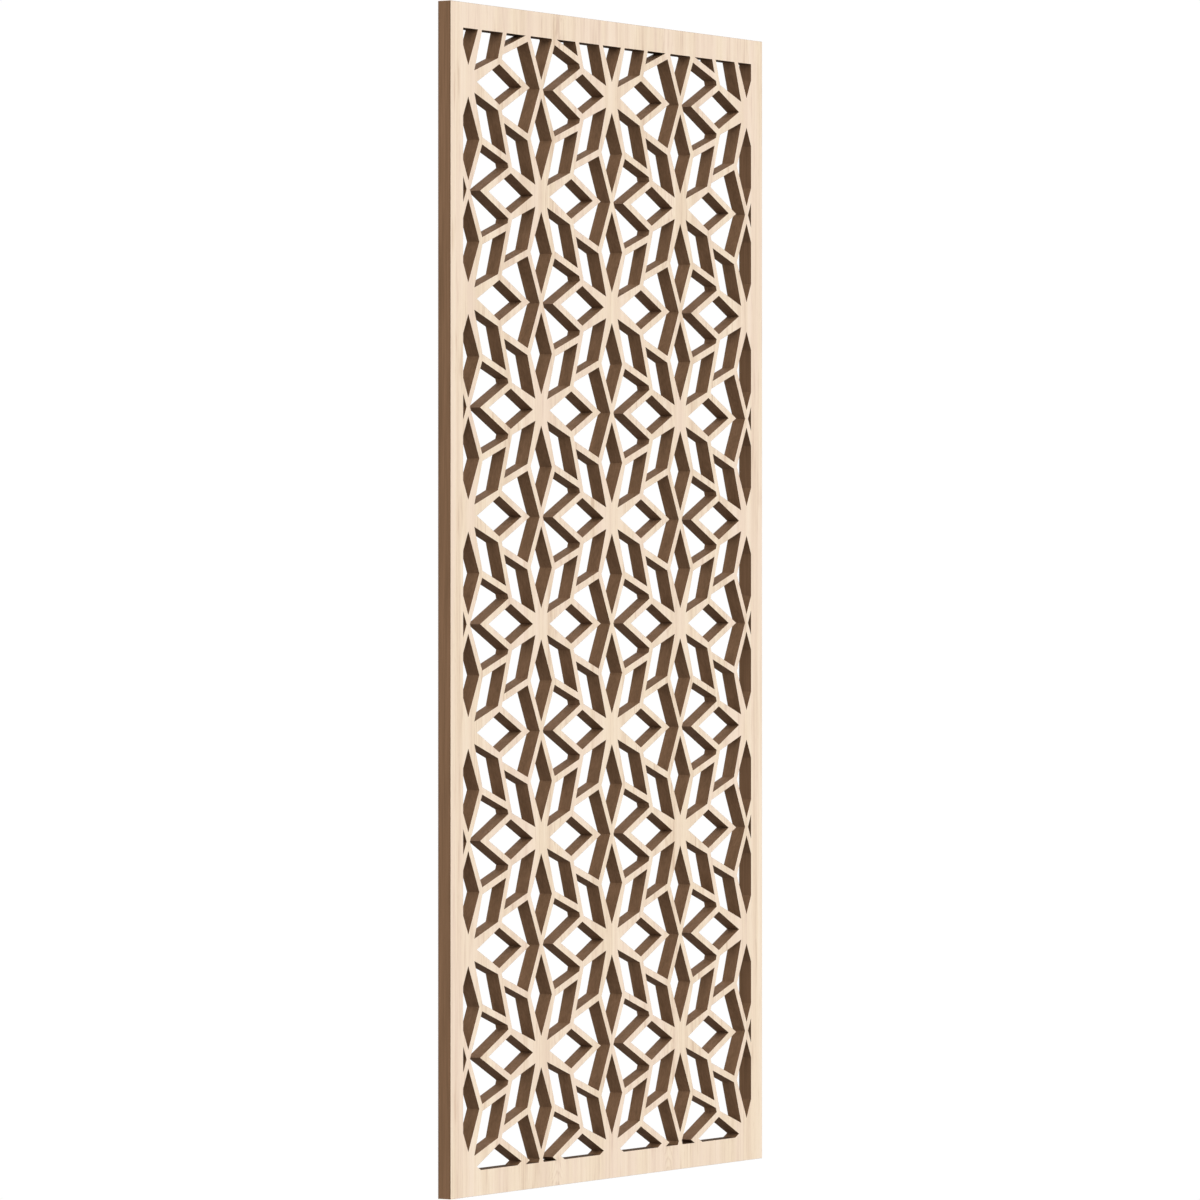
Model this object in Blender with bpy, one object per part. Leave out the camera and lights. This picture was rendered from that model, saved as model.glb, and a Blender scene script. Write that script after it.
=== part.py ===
"""A fretwork wall panel: one board, pierced with a lattice of eight-petalled stars.

Metres, +Z up. The back of the board lies on the plane Y = 0 and its face looks along -Y.
The origin is on the back, at the middle of the bottom border.
"""

import math

import bmesh
import bpy
from mathutils import Matrix, Vector
from mathutils.geometry import delaunay_2d_cdt

# The board, and the plain borders round its pierced window
PANEL_WIDTH = 0.600
PANEL_HEIGHT = 1.200
PANEL_THICKNESS = 0.015
SIDE_BORDER = 0.0228
END_BORDER = 0.0258

# The lattice. Stars stand in columns, one column on the board's middle line, and the stars of
# every second column stand half a row higher than those beside them
COLUMN_STEP = 0.1340
ROW_STEP = 0.2184
FIRST_STAR_DROP = 0.0785
FRET_WIDTH = 0.0069
HUB_RADIUS = 0.0157
PETAL_HALF_ANGLE = math.radians(26.0)
PETAL_COUNT = 8

# How far above level a star's diagonal neighbour lies where the stars are regular. The lattice
# is drawn that way first, and then stretched in height to its real row step
NEIGHBOUR_ANGLE = math.radians(38.47)

# A sliver of a hole along the window's edge that is narrower than the saw is left uncut
SAW_WIDTH = 0.0008

# The face's colour
MAPLE = (0.84, 0.68, 0.52)
MAPLE_ROUGHNESS = 0.55

# Points closer together than this are one point
SAME_POINT = 1e-6

BOTTOM = -END_BORDER / 2
TOP = BOTTOM + PANEL_HEIGHT
WINDOW_HALF_WIDTH = PANEL_WIDTH / 2 - SIDE_BORDER
WINDOW_BOTTOM = BOTTOM + END_BORDER
WINDOW_TOP = TOP - END_BORDER

REGULAR_HALF_ROW = COLUMN_STEP * math.tan(NEIGHBOUR_ANGLE)
STRETCH = ROW_STEP / 2 / REGULAR_HALF_ROW
NEIGHBOUR = Vector((COLUMN_STEP, REGULAR_HALF_ROW))


def clear_scene():
    for obj in list(bpy.data.objects):
        bpy.data.objects.remove(obj, do_unlink=True)


def petal_reach():
    """How far a petal's tip is from its star's centre.

    The diagonal petals of two neighbouring stars lie side by side. Their long facing edges
    are parallel, and this reach leaves one fret between them.
    """
    steep = math.radians(45) + PETAL_HALF_ANGLE
    room = COLUMN_STEP * math.sin(steep) - REGULAR_HALF_ROW * math.cos(steep) - FRET_WIDTH
    return room / (2 * math.sin(PETAL_HALF_ANGLE))


def petal(degrees, centre=Vector((0, 0))):
    """A petal's four corners, counterclockwise from the hub, for a petal pointing this way from +X."""
    reach = petal_reach()
    middle = (HUB_RADIUS + reach) / 2
    half_width = (reach - HUB_RADIUS) / 2 * math.tan(PETAL_HALF_ANGLE)
    corners = [(HUB_RADIUS, 0), (middle, -half_width), (reach, 0), (middle, half_width)]
    turn = Matrix.Rotation(math.radians(degrees), 2)
    return [centre + turn @ Vector(corner) for corner in corners]


def beside(corners, first):
    """The line one fret outside a petal's edge from this corner to the next: a point and a direction."""
    start, end = corners[first], corners[(first + 1) % len(corners)]
    along = (end - start).normalized()
    outward = Vector((along.y, -along.x))
    return start + FRET_WIDTH * outward, along


def meeting(line, other):
    """The point where two lines cross, each given as a point and a direction."""
    (start, along), (other_start, other_along) = line, other
    apart = other_start - start
    return start + along * (apart.cross(other_along) / along.cross(other_along))


def arrow():
    """The arrow-shaped hole between a star's right-hand petal and the crossing beyond it.

    Each of its edges runs one fret from a petal: the star's own right-hand and diagonal
    petals, and the diagonal and upright petals of the neighbouring stars. It is the same
    above and below the middle line.
    """
    middle_line = (Vector((0, 0)), Vector((1, 0)))
    own_level = beside(petal(0), 2)
    own_diagonal = beside(petal(45), 1)
    next_diagonal = beside(petal(225, NEIGHBOUR), 2)
    next_upright = beside(petal(270, NEIGHBOUR), 1)
    neck = meeting(next_upright, middle_line)
    notch = meeting(own_level, middle_line)
    upper = [
        meeting(next_upright, next_diagonal),
        meeting(next_diagonal, own_diagonal),
        meeting(own_diagonal, own_level),
    ]
    lower = [Vector((corner.x, -corner.y)) for corner in reversed(upper)]
    return [neck, *upper, notch, *lower]


def holes_of_a_star():
    """The holes that go with each star, round (0, 0), in their real proportions."""
    right_arrow = arrow()
    left_arrow = [Vector((-corner.x, corner.y)) for corner in reversed(right_arrow)]
    holes = [petal(360 * number / PETAL_COUNT) for number in range(PETAL_COUNT)]
    holes += [right_arrow, left_arrow]
    return [[Vector((corner.x, corner.y * STRETCH)) for corner in hole] for hole in holes]


def star_centres():
    """The stars that reach into the window."""
    columns = math.ceil(WINDOW_HALF_WIDTH / COLUMN_STEP) + 1
    rows = math.ceil(PANEL_HEIGHT / ROW_STEP) + 1
    centres = []
    for column in range(-columns, columns + 1):
        rise = ROW_STEP / 2 * (column % 2)
        for row in range(-1, rows + 1):
            drop = FIRST_STAR_DROP + row * ROW_STEP - rise
            centres.append(Vector((column * COLUMN_STEP, TOP - drop)))
    return centres


def clip(corners, axis, limit, side):
    """The part of an outline on one side of an upright or level line: below the limit at side 1."""
    kept = []
    for start, end in zip(corners, corners[1:] + corners[:1]):
        depth, end_depth = side * (limit - start[axis]), side * (limit - end[axis])
        if depth >= 0:
            kept.append(start)
        if depth * end_depth < 0:
            kept.append(start.lerp(end, depth / (depth - end_depth)))
    return kept


def inside_window(corners):
    """The part of a hole's outline that lies in the window, with no point given twice."""
    for axis, limit, side in (
        (0, WINDOW_HALF_WIDTH, 1),
        (0, -WINDOW_HALF_WIDTH, -1),
        (1, WINDOW_TOP, 1),
        (1, WINDOW_BOTTOM, -1),
    ):
        corners = clip(corners, axis, limit, side)
    return [
        corner
        for corner, before in zip(corners, corners[-1:] + corners[:-1])
        if (corner - before).length > SAME_POINT
    ]


def wide_enough(corners):
    """Whether the saw can enter the hole."""
    return all(
        max(corner[axis] for corner in corners) - min(corner[axis] for corner in corners) > SAW_WIDTH
        for axis in (0, 1)
    )


def window_holes():
    """The outline of every hole in the board."""
    motif = holes_of_a_star()
    holes = []
    for centre in star_centres():
        for hole in motif:
            corners = inside_window([centre + corner for corner in hole])
            if len(corners) > 2 and wide_enough(corners):
                holes.append(corners)
    return holes


def board_outline():
    half_width = PANEL_WIDTH / 2
    corners = [(-half_width, BOTTOM), (half_width, BOTTOM), (half_width, TOP), (-half_width, TOP)]
    return [Vector(corner) for corner in corners]


def pierced_board():
    """The board's mesh: a flat sheet with the holes left out, drawn out to the thickness.

    The board's outline and every hole are filled together with triangles, and the sheet
    keeps those that lie in the board's outline and in no hole.
    """
    points, outlines = [], []
    for outline in [board_outline(), *window_holes()]:
        outlines.append(range(len(points), len(points) + len(outline)))
        points += outline
    inside = 1
    filled = delaunay_2d_cdt(points, [], outlines, inside, SAME_POINT)
    flat_points, triangles, outlines_round = filled[0], filled[2], filled[5]

    bm = bmesh.new()
    vertices = [bm.verts.new((point.x, 0, point.y)) for point in flat_points]
    for triangle, numbers in zip(triangles, outlines_round):
        if list(numbers) == [0]:
            bm.faces.new([vertices[i] for i in triangle])
    front = bmesh.ops.extrude_face_region(bm, geom=bm.faces[:])["geom"]
    front_vertices = [item for item in front if isinstance(item, bmesh.types.BMVert)]
    bmesh.ops.translate(bm, verts=front_vertices, vec=(0, -PANEL_THICKNESS, 0))
    bmesh.ops.recalc_face_normals(bm, faces=bm.faces)
    mesh = bpy.data.meshes.new("fretwork_panel")
    bm.to_mesh(mesh)
    bm.free()
    return mesh


def maple():
    """Pale maple with a thin matt finish."""
    material = bpy.data.materials.new("maple")
    material.use_nodes = True
    shader = material.node_tree.nodes["Principled BSDF"]
    shader.inputs["Base Color"].default_value = (*MAPLE, 1)
    shader.inputs["Roughness"].default_value = MAPLE_ROUGHNESS
    shader.inputs["Metallic"].default_value = 0
    return material


def build_panel():
    mesh = pierced_board()
    mesh.materials.append(maple())
    panel = bpy.data.objects.new("fretwork_panel", mesh)
    bpy.context.scene.collection.objects.link(panel)
    return panel


clear_scene()
build_panel()
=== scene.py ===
"""The looks of a fretwork wall panel: one pierced board of pale maple with brown cut edges."""

import math

import bpy
import numpy as np
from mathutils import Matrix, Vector


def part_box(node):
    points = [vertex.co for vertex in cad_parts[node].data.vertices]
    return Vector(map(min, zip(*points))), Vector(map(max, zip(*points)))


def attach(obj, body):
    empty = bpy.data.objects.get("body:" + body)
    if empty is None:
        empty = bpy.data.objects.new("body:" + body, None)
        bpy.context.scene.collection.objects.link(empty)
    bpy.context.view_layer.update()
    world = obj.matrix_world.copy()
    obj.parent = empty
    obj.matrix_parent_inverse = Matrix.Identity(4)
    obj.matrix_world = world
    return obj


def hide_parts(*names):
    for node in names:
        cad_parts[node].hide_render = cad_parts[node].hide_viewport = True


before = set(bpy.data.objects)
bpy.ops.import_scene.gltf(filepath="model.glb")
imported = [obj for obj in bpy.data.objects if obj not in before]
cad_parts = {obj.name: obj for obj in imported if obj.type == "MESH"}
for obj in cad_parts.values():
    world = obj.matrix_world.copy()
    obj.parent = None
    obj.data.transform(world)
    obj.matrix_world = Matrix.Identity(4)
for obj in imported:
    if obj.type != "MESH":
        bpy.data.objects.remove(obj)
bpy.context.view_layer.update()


# The pierced board. It is one board of pale maple, sawn through with 241 holes that leave a
# lattice of eight-petalled stars. The sawn edges, with arrises that are only just broken, are
# stained brown, and the faces are sanded clean of the stain.
board_low, board_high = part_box("fretwork_panel")
BOARD_FRONT, BOARD_BACK = board_low.y, board_high.y
BOARD_MIDDLE = (BOARD_FRONT + BOARD_BACK) / 2
ARRIS_RADIUS = 0.00015
ARRIS_STEPS = 2
LONGEST_MITRE = 2.5
SAME_POINT = 1e-6
FACE_SLOT, EDGE_SLOT = 0, 1
NO_BAND = -1


def front_sheet(mesh):
    """The front of the solid as one welded sheet: its points (x, z), and its triangles.

    A triangle belongs to it where all its corners lie nearer the front than the back. Corners
    at the same place become one point.
    """
    places = np.empty(len(mesh.vertices) * 3)
    mesh.vertices.foreach_get("co", places)
    places = places.reshape(-1, 3)
    corners = np.empty(len(mesh.loops), int)
    mesh.loops.foreach_get("vertex_index", corners)
    triangles = corners.reshape(-1, 3)
    in_front = places[:, 1] < BOARD_MIDDLE
    triangles = triangles[in_front[triangles].all(axis=1)]
    flat = np.round(places[triangles.ravel()][:, (0, 2)] / SAME_POINT).astype(int)
    points, triangles = np.unique(flat, axis=0, return_inverse=True)
    return points * SAME_POINT, triangles.reshape(-1, 3)


def outline_edges(triangles, count):
    """The sheet's outline edges, each from a point to the next with the wood on its left.

    They are the triangle sides that no other triangle runs the opposite way. A side from point
    a to point b has the number a * count + b, and the side from b to a has b * count + a.
    """
    sides = np.concatenate([triangles[:, (0, 1)], triangles[:, (1, 2)], triangles[:, (2, 0)]])
    numbers, opposite_numbers = sides @ (count, 1), sides @ (1, count)
    return sides[~np.isin(numbers, opposite_numbers)]


def way_into_the_wood(points, edges):
    """For each point, how it moves when both outline edges at it go one unit into the wood.

    With a and b the unit normals of the edges before and after the point, that is
    (a + b) / (1 + a.b), kept under the longest mitre at sharp tips.
    """
    along = points[edges[:, 1]] - points[edges[:, 0]]
    along /= np.linalg.norm(along, axis=1, keepdims=True)
    inward = np.column_stack([-along[:, 1], along[:, 0]])
    after, before = np.zeros_like(points), np.zeros_like(points)
    after[edges[:, 0]] = inward
    before[edges[:, 1]] = inward
    mitre = (before + after) / (1 + (before * after).sum(axis=1, keepdims=True))
    length = np.linalg.norm(mitre, axis=1, keepdims=True)
    return mitre * np.minimum(1, LONGEST_MITRE / np.maximum(length, SAME_POINT))


def board_profile():
    """How the cut edge runs from front to back: each ring's inset into the wood and its y.

    Both arrises are quarter rounds. At the turn t the front one lies r(1 - sin t) into the
    wood and r(1 - cos t) behind the face, and the back one mirrors it.
    """
    turn = np.linspace(0, math.pi / 2, ARRIS_STEPS + 1)
    inset = ARRIS_RADIUS * (1 - np.sin(turn))
    depth = ARRIS_RADIUS * (1 - np.cos(turn))
    return (
        np.concatenate([inset, inset[::-1]]),
        np.concatenate([BOARD_FRONT + depth, BOARD_BACK - depth[::-1]]),
    )


def pierced_board_mesh(solid):
    """The board's surface: the profile carried along every outline, closed by both sheets.

    A ring is every point of the sheet, moved by its way into the wood times the profile's
    inset there, at the profile's y. A band joins two rings along the outline edges.
    """
    points, triangles = front_sheet(solid)
    edges = outline_edges(triangles, len(points))
    mitre = way_into_the_wood(points, edges)
    inset, depth = board_profile()
    rings, count = len(inset), len(points)
    flat = points + inset[:, None, None] * mitre
    y = np.broadcast_to(depth[:, None], (rings, count))
    places = np.stack([flat[..., 0], y, flat[..., 1]], axis=-1).reshape(-1, 3)

    start, end = edges.T
    here = np.arange(rings - 1)[:, None] * count
    bands = np.stack([end + here, start + here, start + here + count, end + here + count], axis=-1)
    back_triangles = triangles[:, ::-1] + (rings - 1) * count
    mesh = bpy.data.meshes.new("pierced_board")
    faces = [*triangles.tolist(), *bands.reshape(-1, 4).tolist(), *back_triangles.tolist()]
    mesh.from_pydata(places, [], faces)

    # The two sheets are bare, and every band is stained. The middle band is the flat of the
    # cut edge, and the others are the rounds of the arrises
    sheet = np.full(len(triangles), NO_BAND)
    band = np.concatenate([sheet, np.repeat(np.arange(rings - 1), len(edges)), sheet])
    stained = band != NO_BAND
    mesh.polygons.foreach_set("material_index", np.where(stained, EDGE_SLOT, FACE_SLOT))
    mesh.polygons.foreach_set("use_smooth", stained & (band != ARRIS_STEPS))

    # The mesh edges that run from ring to ring, at the outlines' corners, stay sharp
    ends = np.empty(len(mesh.edges) * 2, int)
    mesh.edges.foreach_get("vertices", ends)
    first, second = ends.reshape(-1, 2).T
    at_corner = first % count == second % count
    mesh.attributes.new("sharp_edge", "BOOLEAN", "EDGE").data.foreach_set("value", at_corner)
    mesh.update()
    return mesh


def new_material(name):
    """A new material, with its node tree and its shader."""
    material = bpy.data.materials.new(name)
    material.use_nodes = True
    return material, material.node_tree, material.node_tree.nodes["Principled BSDF"]


def coordinate(tree, name):
    """One of the coordinates that a shader can read, such as Object or Normal."""
    return tree.nodes.new("ShaderNodeTexCoord").outputs[name]


def parts(tree, vector):
    """A vector's x, y and z."""
    apart = tree.nodes.new("ShaderNodeSeparateXYZ")
    tree.links.new(vector, apart.inputs[0])
    return apart.outputs


def node(tree, kind, inputs, **settings):
    """Adds a shader node. Each input is given a value or an earlier node's output."""
    added = tree.nodes.new("ShaderNode" + kind)
    for setting, value in settings.items():
        setattr(added, setting, value)
    for place, value in inputs.items():
        if isinstance(value, bpy.types.NodeSocket):
            tree.links.new(value, added.inputs[place])
        else:
            added.inputs[place].default_value = value
    return added.outputs[0]


def math_node(tree, operation, *values):
    return node(tree, "Math", dict(enumerate(values)), operation=operation)


def rescale(tree, value, limits, new_limits, **settings):
    """Carries a value between two limits to its place between two new ones, never past them."""
    return node(tree, "MapRange", dict(enumerate((value, *limits, *new_limits))), **settings)


def weighed(tree, start, marks):
    """The start plus each of the marks times its weight, from pairs of (mark, weight)."""
    total = start
    for mark, weight in marks:
        total = math_node(tree, "MULTIPLY_ADD", mark, weight, total)
    return total


def ramp(tree, value, stops):
    """A colour for each value, from stops of (value, colour)."""
    added = tree.nodes.new("ShaderNodeValToRGB")
    stop_list = added.color_ramp.elements
    while len(stop_list) < len(stops):
        stop_list.new(1.0)
    for stop, (place, colour) in zip(stop_list, stops):
        stop.position = place
        stop.color = (*colour, 1)
    tree.links.new(value, added.inputs[0])
    return added.outputs[0]


# Every mark in the wood starts as noise drawn out along the board's height. These are the
# width and the length of each one's streaks in metres, and the noise's detail
GRAIN_ROUGHNESS = 0.55
FIBRES = (0.0018, 0.11, 4.0)
BANDS = (0.011, 0.60, 2.0)
PORES = (0.0007, 0.011, 1.0)
FLECKS = (0.0046, 0.060, 1.0)
CALM_STRETCHES = (0.024, 0.50, 1.0)
BLUSHES = (0.030, 0.35, 2.0)
FIGURE_WANDER = (0.007, 0.024, 2.0)


def grain(tree, place, width, length, detail):
    """Noise drawn out along the board's height: streaks this wide and this long."""
    scale = (1 / width, 1 / width, 1 / length)
    stretched = node(tree, "Mapping", {"Vector": place, "Scale": scale})
    inputs = {"Vector": stretched, "Scale": 1.0, "Detail": detail, "Roughness": GRAIN_ROUGHNESS}
    return node(tree, "TexNoise", inputs)


# The flame figure lies round upright lines, the first one left of the board's middle and the
# others a step apart. It is full near a line and faint farther off
FIGURE_LINE = -0.104
FIGURE_STEP = 0.214
FIGURE_REACH = (0.006, 0.018)
FIGURE_STRENGTH = (1.0, 0.12)

# A ring's width, and its darkness from its early wood to its late wood
YEAR_RING = 0.0030
RING_STOPS = ((0.0, 0.0), (0.45, 0.15), (0.80, 1.0), (1.0, 0.0))

# What a noise is multiplied by, and what is then added, to give how far a line wanders
# sideways and how far behind the face the pith runs. The pith's waves are counted in a metre
FIGURE_SHIFT = (0.015, -0.0075)
PITH_DEPTH = (0.034, -0.006)
PITH_WAVES = 6.1


def flame_figure(tree, place):
    """The yearly rings, cut nearly along them: 1 in the darkest late wood and 0 in the palest.

    A point's ring is its distance from a pith line, divided by the width of a ring. That
    distance is the root of two squares, of how far the point is to the side of the line and
    how far the pith is behind it. The pith comes slowly nearer and farther along the height.
    """
    x, _, z = parts(tree, place)
    wander = math_node(tree, "MULTIPLY_ADD", grain(tree, place, *FIGURE_WANDER), *FIGURE_SHIFT)
    from_first = math_node(tree, "SUBTRACT", math_node(tree, "ADD", x, wander), FIGURE_LINE)
    from_line = math_node(tree, "PINGPONG", from_first, FIGURE_STEP / 2)

    along_pith = math_node(tree, "MULTIPLY", z, PITH_WAVES)
    pith_noise = node(tree, "TexNoise", {"W": along_pith, "Scale": 1.0}, noise_dimensions="1D")
    behind = math_node(tree, "MULTIPLY_ADD", pith_noise, *PITH_DEPTH)

    squares = [math_node(tree, "MULTIPLY", side, side) for side in (from_line, behind)]
    from_pith = math_node(tree, "SQRT", math_node(tree, "ADD", *squares))
    in_ring = math_node(tree, "FRACT", math_node(tree, "DIVIDE", from_pith, YEAR_RING))
    late_wood = ramp(tree, in_ring, [(stop, (darkness,) * 3) for stop, darkness in RING_STOPS])
    strength = rescale(tree, from_line, FIGURE_REACH, FIGURE_STRENGTH)
    return math_node(tree, "MULTIPLY", late_wood, strength)


# The face's tone runs from dark to light, and each mark adds its weight to it
MAPLE_DARK = (0.655, 0.482, 0.343)
MAPLE_MIDDLE = (0.840, 0.687, 0.518)
MAPLE_LIGHT = (0.910, 0.777, 0.628)
MAPLE_PINK = (0.850, 0.675, 0.570)
MAPLE_STOPS = ((0.15, MAPLE_DARK), (0.50, MAPLE_MIDDLE), (0.80, MAPLE_LIGHT))
PLAIN_TONE = 0.152
FIBRE_WEIGHT = 0.62
BAND_WEIGHT = 0.68
PORE_WEIGHT = -0.10
FLECK_WEIGHT = -0.24
FIGURE_WEIGHT = -0.22

# Where each noise passes from none of its mark to the whole of it, and how strong the pink
# blush and the fibres are at the two ends
NOISE_MIDDLE = 0.5
NONE_TO_ALL = (0.0, 1.0)
PORE_LIMITS = (0.60, 0.72)
FLECK_LIMITS = (0.60, 0.76)
BLUSH_LIMITS, BLUSH_STRENGTH = (0.42, 0.62), (0.0, 0.38)
CALM_LIMITS, FIBRE_STRENGTH = (0.38, 0.62), (0.30, 1.10)

# Darker wood is rougher, and the fibres stand a little proud of the pores
FACE_ROUGHNESS, FACE_ROUGHNESS_BY_TONE = 0.66, -0.25
FACE_SPECULAR = 0.30
FACE_BUMP = 0.26
PORE_RELIEF = -0.4
GRAIN_HEIGHT = 0.0002


def maple_face():
    """Pale maple, fine sanded: upright fibres and bands, short flecks and a soft flame figure."""
    material, tree, shader = new_material("maple_face")
    place = coordinate(tree, "Object")
    fibres = grain(tree, place, *FIBRES)
    pores = rescale(tree, grain(tree, place, *PORES), PORE_LIMITS, NONE_TO_ALL)
    flecks = rescale(tree, grain(tree, place, *FLECKS), FLECK_LIMITS, NONE_TO_ALL)
    calm = grain(tree, place, *CALM_STRETCHES)
    fibre_strength = rescale(tree, calm, CALM_LIMITS, FIBRE_STRENGTH)
    streaks = math_node(tree, "SUBTRACT", fibres, NOISE_MIDDLE)
    marks = (
        (math_node(tree, "MULTIPLY", streaks, fibre_strength), FIBRE_WEIGHT),
        (grain(tree, place, *BANDS), BAND_WEIGHT),
        (pores, PORE_WEIGHT),
        (flecks, FLECK_WEIGHT),
        (flame_figure(tree, place), FIGURE_WEIGHT),
    )
    tone = weighed(tree, PLAIN_TONE, marks)

    wood = ramp(tree, tone, MAPLE_STOPS)
    blush = rescale(tree, grain(tree, place, *BLUSHES), BLUSH_LIMITS, BLUSH_STRENGTH)
    wood = node(tree, "MixRGB", {"Fac": blush, "Color1": wood, "Color2": (*MAPLE_PINK, 1)})
    tree.links.new(wood, shader.inputs["Base Color"])
    roughness = weighed(tree, FACE_ROUGHNESS, [(tone, FACE_ROUGHNESS_BY_TONE)])
    tree.links.new(roughness, shader.inputs["Roughness"])
    shader.inputs["Specular IOR Level"].default_value = FACE_SPECULAR
    relief = weighed(tree, fibres, [(pores, PORE_RELIEF)])
    bump = {"Strength": FACE_BUMP, "Distance": GRAIN_HEIGHT, "Height": relief}
    tree.links.new(node(tree, "Bump", bump), shader.inputs["Normal"])
    return material


# The stain's tone is made up in the same way. It is darker by the shades at an arris, over
# this width, and on end grain, where the edge is cut this near to level
STAIN_END = (0.072, 0.039, 0.019)
STAIN_DARK = (0.111, 0.063, 0.033)
STAIN_MIDDLE = (0.176, 0.099, 0.054)
STAIN_LIGHT = (0.236, 0.135, 0.077)
STAIN_STOPS = ((0.05, STAIN_END), (0.20, STAIN_DARK), (0.50, STAIN_MIDDLE), (0.80, STAIN_LIGHT))
STAIN_STREAKS = (0.0016, 0.07, 3.0)
STAIN_PATCHES = (0.009, 0.16, 2.0)
STREAK_WEIGHT = 0.6
PATCH_WEIGHT = 0.4
ARRIS_SHADE_WIDTH = 0.0020
ARRIS_SHADE = (0.0, 0.14)
END_GRAIN_LEVELNESS = (0.96, 1.0)
END_GRAIN_SHADE = (0.0, 0.45)
EDGE_ROUGHNESS, EDGE_ROUGHNESS_BY_TONE = 0.78, -0.3
EDGE_SPECULAR = 0.04
EDGE_BUMP = 0.4


def stained_edge():
    """Stained maple edges: fine upright streaks and patches, a little darker at both arrises.

    The board's grain stands upright, so an edge that is cut level shows end grain, which
    drinks more stain and is darker. An edge is cut level where its normal's z is 1 or -1.
    """
    material, tree, shader = new_material("stained_edge")
    place = coordinate(tree, "Object")
    streaks = grain(tree, place, *STAIN_STREAKS)
    patches = grain(tree, place, *STAIN_PATCHES)
    tone = weighed(tree, 0.0, [(streaks, STREAK_WEIGHT), (patches, PATCH_WEIGHT)])

    _, y, _ = parts(tree, place)
    from_middle = math_node(tree, "ABSOLUTE", math_node(tree, "SUBTRACT", y, BOARD_MIDDLE))
    half = (BOARD_BACK - BOARD_FRONT) / 2
    near_arris = (half - ARRIS_SHADE_WIDTH, half)
    at_arris = rescale(
        tree, from_middle, near_arris, ARRIS_SHADE, interpolation_type="SMOOTHSTEP"
    )
    tone = math_node(tree, "SUBTRACT", tone, at_arris)

    _, _, facing_up = parts(tree, coordinate(tree, "Normal"))
    levelness = math_node(tree, "ABSOLUTE", facing_up)
    end_grain = rescale(tree, levelness, END_GRAIN_LEVELNESS, END_GRAIN_SHADE)
    tone = math_node(tree, "SUBTRACT", tone, end_grain)

    tree.links.new(ramp(tree, tone, STAIN_STOPS), shader.inputs["Base Color"])
    roughness = weighed(tree, EDGE_ROUGHNESS, [(tone, EDGE_ROUGHNESS_BY_TONE)])
    tree.links.new(roughness, shader.inputs["Roughness"])
    shader.inputs["Specular IOR Level"].default_value = EDGE_SPECULAR
    bump = {"Strength": EDGE_BUMP, "Distance": GRAIN_HEIGHT, "Height": streaks}
    tree.links.new(node(tree, "Bump", bump), shader.inputs["Normal"])
    return material


board_mesh = pierced_board_mesh(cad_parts["fretwork_panel"].data)
board_mesh.materials.append(maple_face())
board_mesh.materials.append(stained_edge())
pierced_board = bpy.data.objects.new("pierced_board", board_mesh)
bpy.context.scene.collection.objects.link(pierced_board)
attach(pierced_board, "root")
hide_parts("fretwork_panel")


# The floor. A plain white sheet that the board stands on, lit evenly from below like a light
# table, as white as the sky, so that no shadow shows. None of its light falls on the board.
FLOOR_HALF_WIDTH = 60.0
FLOOR_GLOW = 1.01


def white_floor():
    """A sheet that glows and shines back nothing."""
    material, _, shader = new_material("white_floor")
    shader.inputs["Base Color"].default_value = (0, 0, 0, 1)
    shader.inputs["Specular IOR Level"].default_value = 0.0
    shader.inputs["Emission Color"].default_value = (1, 1, 1, 1)
    shader.inputs["Emission Strength"].default_value = FLOOR_GLOW
    return material


floor_mesh = bpy.data.meshes.new("floor")
floor_corners = FLOOR_HALF_WIDTH * np.array([(-1, -1), (1, -1), (1, 1), (-1, 1)])
floor_level = np.full(len(floor_corners), board_low.z)
floor_mesh.from_pydata(np.column_stack([floor_corners, floor_level]), [], [(0, 1, 2, 3)])
floor_mesh.materials.append(white_floor())
floor = bpy.data.objects.new("floor", floor_mesh)
bpy.context.scene.collection.objects.link(floor)
floor.visible_diffuse = False
floor.visible_glossy = False


# The light. A white sky reaches a little below the horizon, with a dim ground under it. Soft
# lamps stand high in front, low at the left, behind at the right, and overhead.
SKY, GROUND = 1.01, 0.43

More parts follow.
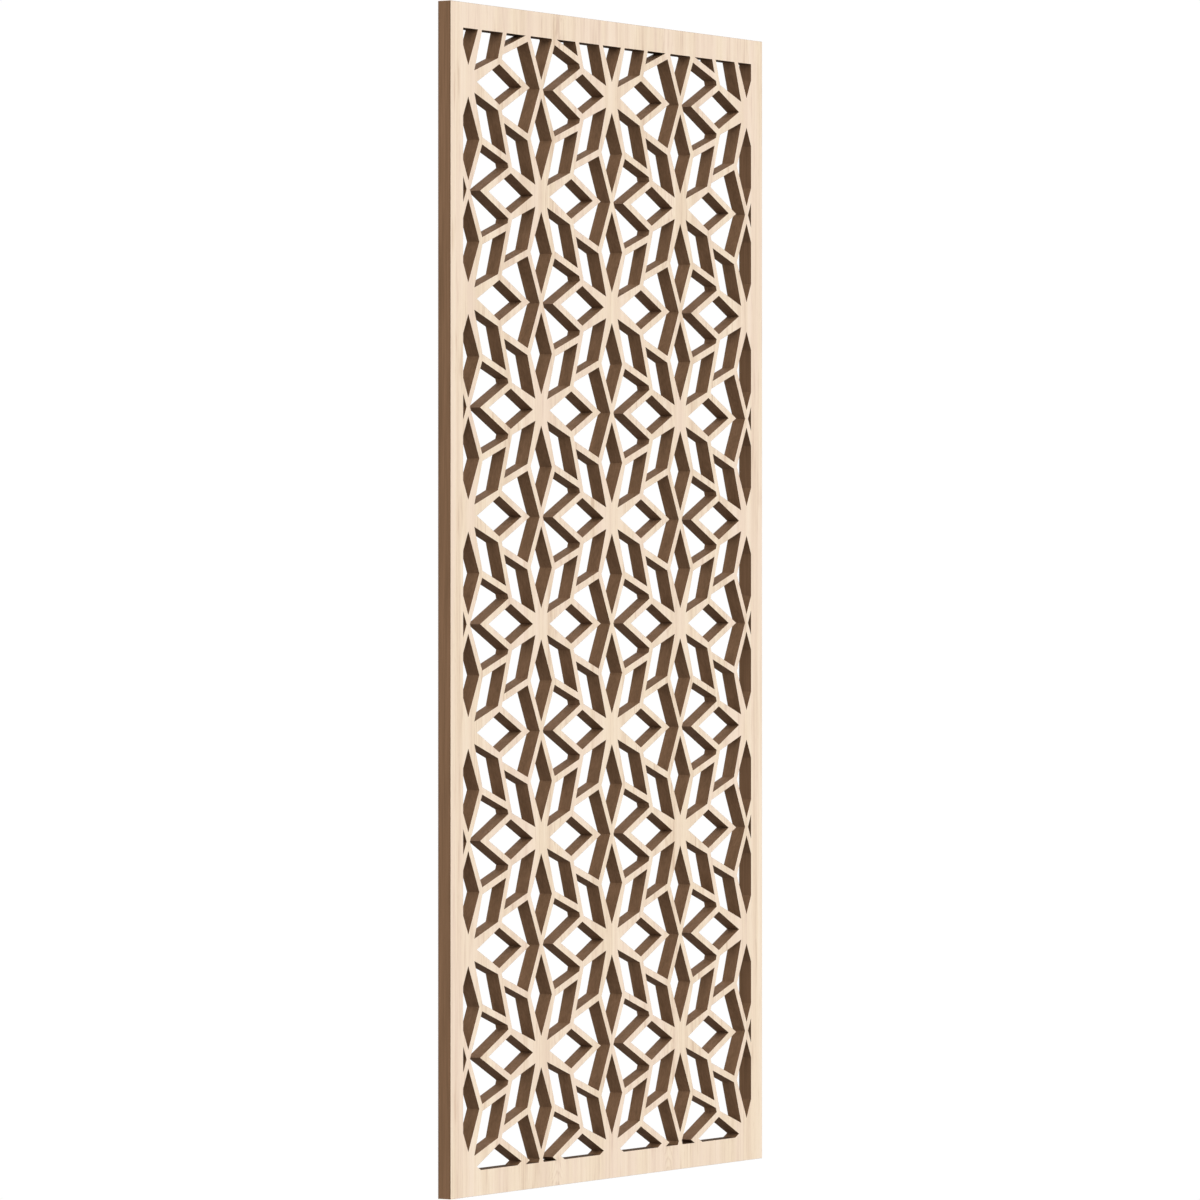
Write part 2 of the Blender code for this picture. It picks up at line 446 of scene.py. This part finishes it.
# How far a line of sight rises in its own length where the ground ends and the sky begins
GROUND_TO_SKY = (-0.20, -0.04)

# Each lamp's strength, the width of its disc in degrees, and the direction it comes from
LAMPS = (
    ("front_lamp", 1.22, 50, (-0.45, -1.0, 0.75)),
    ("left_lamp", 0.68, 12, (-1.0, 0.0, 0.2)),
    ("back_lamp", 0.75, 30, (0.6, 1.0, 0.45)),
    ("top_lamp", 1.45, 6, (0.0, 0.0, 1.0)),
)

world = bpy.data.worlds.new("studio")
bpy.context.scene.world = world
world.use_nodes = True
sky = world.node_tree
_, _, height = parts(sky, coordinate(sky, "Generated"))
sky_strength = rescale(sky, height, GROUND_TO_SKY, (GROUND, SKY))
sky.links.new(sky_strength, sky.nodes["Background"].inputs["Strength"])
sky.nodes["Background"].inputs["Color"].default_value = (1, 1, 1, 1)

for name, strength, spread, comes_from in LAMPS:
    lamp_data = bpy.data.lights.new(name, "SUN")
    lamp_data.energy = strength
    lamp_data.angle = math.radians(spread)
    lamp = bpy.data.objects.new(name, lamp_data)
    lamp.rotation_mode = "QUATERNION"
    lamp.rotation_quaternion = Vector(comes_from).to_track_quat("Z", "Y")
    bpy.context.scene.collection.objects.link(lamp)
bpy.context.scene.view_settings.view_transform = "Standard"


# The camera. It stands level with the board's middle, well to the left, and looks along the
# board's face at a slant, from about seven metres.
CAMERA_PLACE = Vector((-5.9531, -3.8159, 0.587))
CAMERA_LOOKS = Vector((0.8419, 0.5396, 0.0))
CAMERA_LENS = 204.18
SENSOR = 36.0
NEAREST_SEEN, FARTHEST_SEEN = 0.1, 200.0

camera_data = bpy.data.cameras.new("camera")
camera_data.sensor_width = SENSOR
camera_data.lens = CAMERA_LENS
camera_data.clip_start = NEAREST_SEEN
camera_data.clip_end = FARTHEST_SEEN
camera = bpy.data.objects.new("camera", camera_data)
camera.location = CAMERA_PLACE
camera.rotation_mode = "QUATERNION"
camera.rotation_quaternion = CAMERA_LOOKS.to_track_quat("-Z", "Y")
bpy.context.scene.collection.objects.link(camera)
bpy.context.scene.camera = camera
